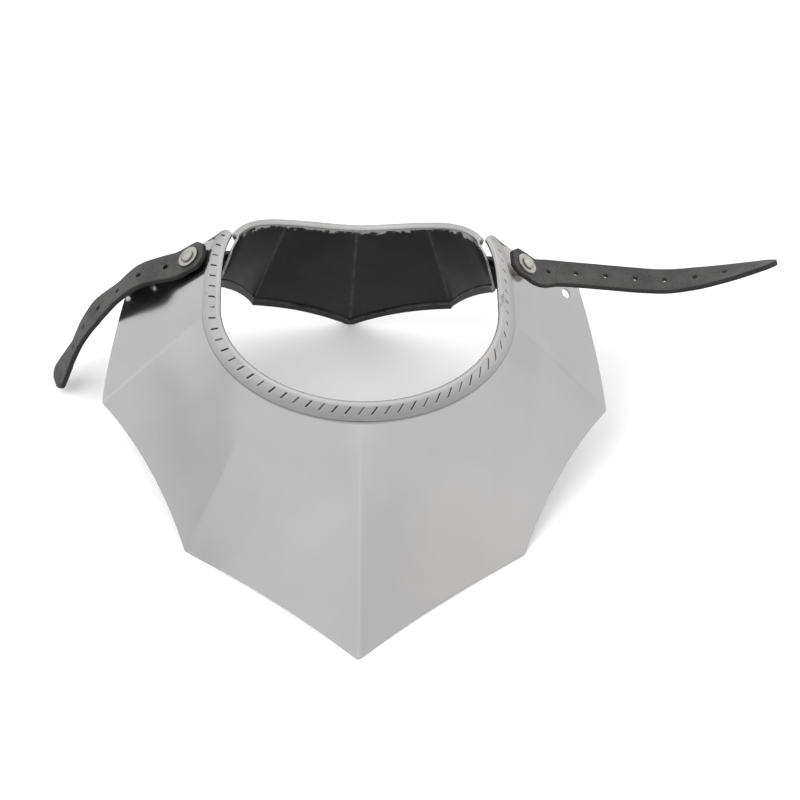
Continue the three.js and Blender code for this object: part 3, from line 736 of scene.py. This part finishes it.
# A smooth line through the points (centripetal Catmull-Rom), sampled finely, with the knot number at each
# sample.
def smoothLine(knots, perPiece=160):
    padded = np.vstack([2 * knots[0] - knots[1], knots, 2 * knots[-1] - knots[-2]])
    t = np.linspace(0.0, 1.0, perPiece, endpoint=False)[:, None]
    samples, places = [], []
    for i in range(len(knots) - 1):
        p0, p1, p2, p3 = padded[i:i + 4]
        d0, d1, d2 = (max(np.linalg.norm(b - a) ** 0.5, 1e-4) for a, b in ((p0, p1), (p1, p2), (p2, p3)))
        m1 = ((p1 - p0) / d0 - (p2 - p0) / (d0 + d1) + (p2 - p1) / d1) * d1
        m2 = ((p2 - p1) / d1 - (p3 - p1) / (d1 + d2) + (p3 - p2) / d2) * d1
        square, cube = -3 * p1 + 3 * p2 - 2 * m1 - m2, 2 * p1 - 2 * p2 + m1 + m2
        samples.append(p1 + m1 * t + square * t ** 2 + cube * t ** 3)
        places.append(i + t[:, 0])
    return np.vstack(samples + [knots[-1:]]), np.concatenate(places + [[len(knots) - 1.0]])


# Gives a function from (distance along, distance across, height) to space: the strap is flat on its seat by
# the rivet, then its width settles to run front to back, turned by the twist of its route.
def strapSpace(setting):
    side, route = setting["side"], setting["route"]
    centre, along, wide, normal = seatOnPlate(side * rivetPlace["angle"], rivetPlace["reach"])
    lifted = centre + normal * (strapShape["lift"] + strapShape["thickness"] / 2)
    flat = [lifted + along * d for d in (-strapShape["insideEnd"], 0.0, strapShape["flatEnd"])]
    knots = np.vstack([flat, route[:, :3] * np.array([side, 1.0, 1.0])])
    line, places = smoothLine(knots)
    steps = np.linalg.norm(np.diff(line, axis=0), axis=1)
    distance = np.concatenate([[0.0], np.cumsum(steps)])
    tangent = unit(np.gradient(line, distance, axis=0))
    twist = np.interp(places, np.arange(len(knots)), np.concatenate([[0, 0, 0], route[:, 3]]))
    easing = strapShape["settle"] - strapShape["flatUntil"]
    settle = np.clip((strapShape["settle"] - distance) / easing, 0, 1)[:, None]
    level = np.array([0.0, side, 0.0]) * (1 - settle) + wide * settle
    across = unit(level - tangent * np.sum(level * tangent, axis=1, keepdims=True))
    turn = np.radians(-side * twist)[:, None]
    across = across * np.cos(turn) + np.cross(tangent, across) * np.sin(turn)
    face = np.cross(tangent, across)
    pick = lambda values, s: np.stack([np.interp(s, distance, values[:, k]) for k in range(3)], -1)

    def place(s, w, h):
        beyond = (s - np.clip(s, 0.0, distance[-1]))[..., None]
        c = np.clip(s, 0.0, distance[-1])
        middle = pick(line, c) + pick(tangent, c) * beyond
        return middle + pick(across, c) * w[..., None] + pick(face, c) * h[..., None]

    return place, distance[-1]


def strapHalf(s, length):
    half = strapShape["width"] / 2
    corner = np.minimum(half, half - strapShape["chamfer"] + s)
    left = np.clip((length - s) / strapShape["tip"], 0.0, 1.0)
    tip = half * np.maximum(np.sqrt(1.0 - (1.0 - left) ** 2), strapShape["blunt"])
    return np.minimum(corner, tip)


# A strap: each hole has a ring of quads that spreads from the hole to its own stretch of the strap, and a
# rounded edge is carried right round the outline.
def strap(setting):
    place, length = strapSpace(setting)
    inset, thick = strapShape["round"], strapShape["thickness"]
    centres = strapShape["insideEnd"] + setting["pitch"] * np.arange(setting["holes"] + 1)
    cuts = np.concatenate([[inset], (centres[:-1] + centres[1:]) / 2, [centres[-1] + setting["pitch"] / 2]])
    sideSteps, endSteps, rings = 16, 14, np.array([0.0, 0.05, 0.2, 0.45, 0.75, 1.0])
    allPoints, allQuads, allSlots = [], [], []

    def put(flat, quads, slot):  # flat holds distance along, share of the half width, height
        s, w, h = flat[..., 0], flat[..., 1], flat[..., 2]
        start = sum(len(p) for p in allPoints)
        allPoints.append(place(s, w, h).reshape(-1, 3))
        allQuads.append(quads + start)
        allSlots.append(np.full(len(quads), slot))

    inner = lambda s: strapHalf(s, length) - inset
    u, v = np.linspace(0, 1, sideSteps + 1), np.linspace(-1, 1, endSteps + 1)
    for i, centre in enumerate(centres):
        low, high = cuts[i], cuts[i + 1]
        out, home = low + (high - low) * u[:-1], high + (low - high) * u[:-1]
        s = np.concatenate([out, np.full(endSteps, high), home, np.full(endSteps, low)])
        share = np.concatenate([np.full(sideSteps, -1.0), v[:-1], np.full(sideSteps, 1.0), -v[:-1]])
        border = np.stack([s, share * inner(s)], -1)
        radius = strapShape["rivetHole"] if i == 0 else strapShape["hole"]
        middle = np.array([centre, 0.0])
        rim = middle + radius * unit(border - middle)
        flat = rim[None] + (border - rim)[None] * rings[:, None, None]
        soft = 0.3 * np.clip(1.0 - rings / 0.05, 0.0, 1.0)  # the punched edge dips a little
        for face in (1.0, -1.0):
            height = face * (thick / 2 - soft)[:, None] * np.ones(len(s))
            sheet = np.concatenate([flat, height[..., None]], -1)
            put(sheet, gridFaces(len(rings), len(s), closeColumns=True), 0)
        walls = np.linspace(thick / 2 - 0.3, -thick / 2 + 0.3, 4)
        deep = np.broadcast_to(walls[:, None, None], (4, len(s), 1))
        tube = np.concatenate([np.broadcast_to(rim, (4, *rim.shape)), deep], -1)
        put(tube, gridFaces(4, len(s), closeColumns=True), 1)
    tipSteps = np.concatenate([np.linspace(cuts[-1], length - strapShape["tip"], 14)[:-1],
                               length - inset - (strapShape["tip"] - inset) * np.linspace(1, 0, 14) ** 1.6])
    grid = np.stack(np.meshgrid(tipSteps, v, indexing="ij"), -1)
    grid[..., 1] *= inner(grid[..., 0])
    for face in (1.0, -1.0):
        level = np.full((*grid.shape[:2], 1), face * thick / 2)
        put(np.concatenate([grid, level], -1), gridFaces(len(tipSteps), len(v)), 0)
    # the outline, once round, with its outward direction
    sides = np.concatenate([a + (b - a) * u[:-1] for a, b in zip(cuts[:-1], cuts[1:])] + [tipSteps])
    first, last = np.full(endSteps - 1, sides[0]), np.full(endSteps - 1, sides[-1])
    s = np.concatenate([sides, last, sides[::-1], first])
    share = np.concatenate([np.full(len(sides), -1.0), v[1:-1], np.full(len(sides), 1.0), v[1:-1][::-1]])
    line = np.stack([s, share * inner(s)], -1)
    tangent = unit(np.roll(line, -1, 0) - np.roll(line, 1, 0))
    outward = np.stack([tangent[:, 1], -tangent[:, 0]], -1)
    arc = np.linspace(0.0, np.pi, 9)
    spread = np.sin(arc)[:, None, None] * inset
    level = (np.cos(arc) * inset + np.sign(np.cos(arc)) * (thick / 2 - inset))[:, None]
    rise = np.broadcast_to(level[..., None], (9, len(s), 1))
    strip = np.concatenate([line[None] + outward[None] * spread, rise], -1)
    put(strip, gridFaces(9, len(s), closeColumns=True), 1)
    return np.concatenate(allPoints), np.concatenate(allQuads), np.concatenate(allSlots)


for word, setting in strapRoutes.items():
    points, quads, slots = strap(setting)
    band = straightened(meshPiece("strap_leather_" + word, points, quads, [leatherFace, leatherEdge], slots))
    band.data.set_sharp_from_angle(angle=math.radians(60))
    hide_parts("strap_" + word)
    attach(band, "root")
    band.visible_glossy = setting["mirrored"]  # only the left strap shows in the steel
    print("strap", word, len(band.data.polygons))

# Washers and rivets.

rivetShape = {"shank": 2.0, "head": 3.8, "headHeight": 2.5, "tail": 3.2, "tailHeight": 1.1, "gap": 0.3}
washerShape = {"radius": 6.3, "thickness": 1.0, "inner": 2.3}


# A profile of (radius, height) carried once round the rivet's axis on a shoulder.
def turnedPiece(name, profile, side, closed, sides=72):
    centre, along, wide, normal = seatOnPlate(side * rivetPlace["angle"], rivetPlace["reach"])
    turn = np.linspace(0.0, 2.0 * np.pi, sides, endpoint=False)
    radius, height = np.array(profile).T
    ring = np.cos(turn)[:, None] * along + np.sin(turn)[:, None] * wide
    points = centre + radius[:, None, None] * ring[None] + height[:, None, None] * normal
    quads = gridFaces(len(profile), sides, closeRows=closed, closeColumns=True)
    piece = straightened(meshPiece(name, points.reshape(-1, 3), quads, [rivetFinish]))
    piece.data.set_sharp_from_angle(angle=math.radians(40))
    return piece


for word, setting in strapRoutes.items():
    side = setting["side"]
    seat = strapShape["lift"] + strapShape["thickness"] + rivetShape["gap"]
    r, t = washerShape["radius"], washerShape["thickness"]
    bend = np.linspace(0.0, np.pi / 2, 6)
    rounded = [(r - 0.4 + 0.4 * math.cos(b), seat + t - 0.4 + 0.4 * math.sin(b)) for b in bend]
    profile = [(washerShape["inner"], seat), (r - 0.25, seat), (r, seat + 0.2)] + rounded
    profile += [(r - 1.2, seat + t), (4.4, seat + t - 0.05), (washerShape["inner"], seat + t - 0.15)]
    washer = turnedPiece("washer_" + word + "_steel", profile, side, True)
    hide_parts("washer_" + word)
    base = seat + t + rivetShape["gap"] - 0.15
    low = -(2 * sheetThickness + earShape["gap"] + rivetShape["gap"])
    dome = [(rivetShape["head"] * math.cos(b), base + 0.45 + (rivetShape["headHeight"] - 0.45) * math.sin(b))
            for b in np.linspace(0.0, np.pi / 2 - 1e-4, 14)]
    end, tail, shank = low - rivetShape["tailHeight"], rivetShape["tail"], rivetShape["shank"]
    profile = [(1e-4, end), (tail - 0.3, end), (tail, end + 0.3), (tail, low), (shank, low), (shank, base),
               (rivetShape["head"] - 0.15, base)] + dome
    rivet = turnedPiece("rivet_" + word + "_steel", profile, side, False)
    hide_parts("rivet_" + word)
    for piece in (washer, rivet):
        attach(piece, "root")
print("washers and rivets made")

# Camera, floor and light.

photoView = {
    "place": (-53.0, -857.1, 888.5), "right": (0.9978, -0.0339, 0.0569), "up": (-0.0161, 0.7092, 0.7048),
    "back": (-0.0643, -0.7042, 0.7071), "focalPixels": 2189.0, "framePixels": 800.0,
}
studio = {
    "floor": 0.93, "key": 9.0, "fill": 5.0, "side": 7.0,
    "sky": [  # from straight down to straight up: place on the ramp and brightness
        (0.0, 0.45), (0.40, 0.66), (0.485, 0.80), (0.56, 0.90), (0.72, 0.92), (0.90, 0.93), (1.0, 1.15),
    ],
    "cards": [  # toward, cosine at the edge, cosine at the heart, share of the light left
        ((-0.90, -0.33, 0.28), 0.985, 0.999, 0.83), ((0.77, -0.35, 0.54), 0.95, 0.999, 0.93),
        ((-0.94, 0.10, 0.33), 0.96, 0.999, 1.10), ((0.95, 0.10, 0.27), 0.97, 0.999, 0.92),
    ],
}


def setCamera():
    data = bpy.data.cameras.new("camera")
    data.sensor_width = 36.0
    data.lens = photoView["focalPixels"] / photoView["framePixels"] * data.sensor_width
    camera = bpy.data.objects.new("camera", data)
    turn = Matrix((photoView["right"], photoView["up"], photoView["back"])).transposed()
    camera.matrix_world = Matrix.Translation(Vector(toFrame(photoView["place"]))) @ turn.to_4x4()
    bpy.context.scene.collection.objects.link(camera)
    bpy.context.scene.camera = camera


def areaLight(name, place, aim, size, power):
    data = bpy.data.lights.new(name, "AREA")
    data.shape, data.size, data.energy = "SQUARE", size, power
    light = bpy.data.objects.new(name, data)
    light.location = place
    light.visible_glossy = False
    light.rotation_euler = (Vector(aim) - Vector(place)).to_track_quat("-Z", "Y").to_euler()
    bpy.context.scene.collection.objects.link(light)


# A plain studio round the object: its brightness changes with height, and soft cards change the light of some
# directions by a smooth step of the cosine of the angle to each.
def setSky():
    world = bpy.data.worlds.new("studio")
    world.use_nodes = True
    nodes, links = world.node_tree.nodes, world.node_tree.links
    split = nodes.new("ShaderNodeSeparateXYZ")
    links.new(nodes.new("ShaderNodeTexCoord").outputs["Generated"], split.inputs["Vector"])
    height = nodes.new("ShaderNodeMapRange")
    height.inputs["From Min"].default_value, height.inputs["From Max"].default_value = -1.0, 1.0
    links.new(split.outputs["Z"], height.inputs["Value"])
    ramp = nodes.new("ShaderNodeValToRGB")
    stops = studio["sky"]
    ramp.color_ramp.elements[0].position, ramp.color_ramp.elements[1].position = stops[0][0], stops[-1][0]
    for place, _ in stops[1:-1]:
        ramp.color_ramp.elements.new(place)
    for element, (_, level) in zip(ramp.color_ramp.elements, stops):
        element.color = (level, level, level, 1.0)
    links.new(height.outputs["Result"], ramp.inputs["Fac"])
    links.new(ramp.outputs["Color"], nodes["Background"].inputs["Color"])
    level = None
    for toward, edge, heart, left in studio["cards"]:
        cosine = nodes.new("ShaderNodeVectorMath")
        cosine.operation = "DOT_PRODUCT"
        cosine.inputs[1].default_value = Vector(toward).normalized()
        links.new(split.inputs["Vector"].links[0].from_socket, cosine.inputs[0])
        shade = nodes.new("ShaderNodeMapRange")
        shade.interpolation_type = "SMOOTHSTEP"
        shade.inputs["From Min"].default_value, shade.inputs["From Max"].default_value = edge, heart
        shade.inputs["To Min"].default_value, shade.inputs["To Max"].default_value = 1.0, left
        links.new(cosine.outputs["Value"], shade.inputs["Value"])
        both = nodes.new("ShaderNodeMath")
        both.operation = "MULTIPLY"
        both.inputs[1].default_value = 1.0
        links.new(shade.outputs["Result"], both.inputs[0])
        if level is not None:
            links.new(level, both.inputs[1])
        level = both.outputs["Value"]
    links.new(level, nodes["Background"].inputs["Strength"])
    bpy.context.scene.world = world


def setStudio():
    mesh = bpy.data.meshes.new("floor")
    mesh.from_pydata([(-6, -6, 0), (6, -6, 0), (6, 6, 0), (-6, 6, 0)], [], [(0, 1, 2, 3)])
    floor = bpy.data.objects.new("floor", mesh)
    material, put, kit = newMaterial("floor_paper")
    put["Base Color"].default_value = (studio["floor"], studio["floor"], studio["floor"], 1.0)
    put["Roughness"].default_value = 0.9
    put["Specular IOR Level"].default_value = 0.1
    mesh.materials.append(material)
    bpy.context.scene.collection.objects.link(floor)
    floor.visible_glossy = False
    setSky()
    areaLight("key", (-0.7, -0.6, 1.5), (0.0, 0.0, 0.05), 0.9, studio["key"])
    areaLight("fill", (1.1, 0.3, 1.2), (0.0, 0.0, 0.05), 1.0, studio["fill"])
    areaLight("side", (-1.3, 0.1, 0.55), (-0.15, 0.0, 0.05), 0.6, studio["side"])
    bpy.context.scene.view_settings.view_transform = "Standard"


setCamera()
setStudio()
print("camera, floor and light set")
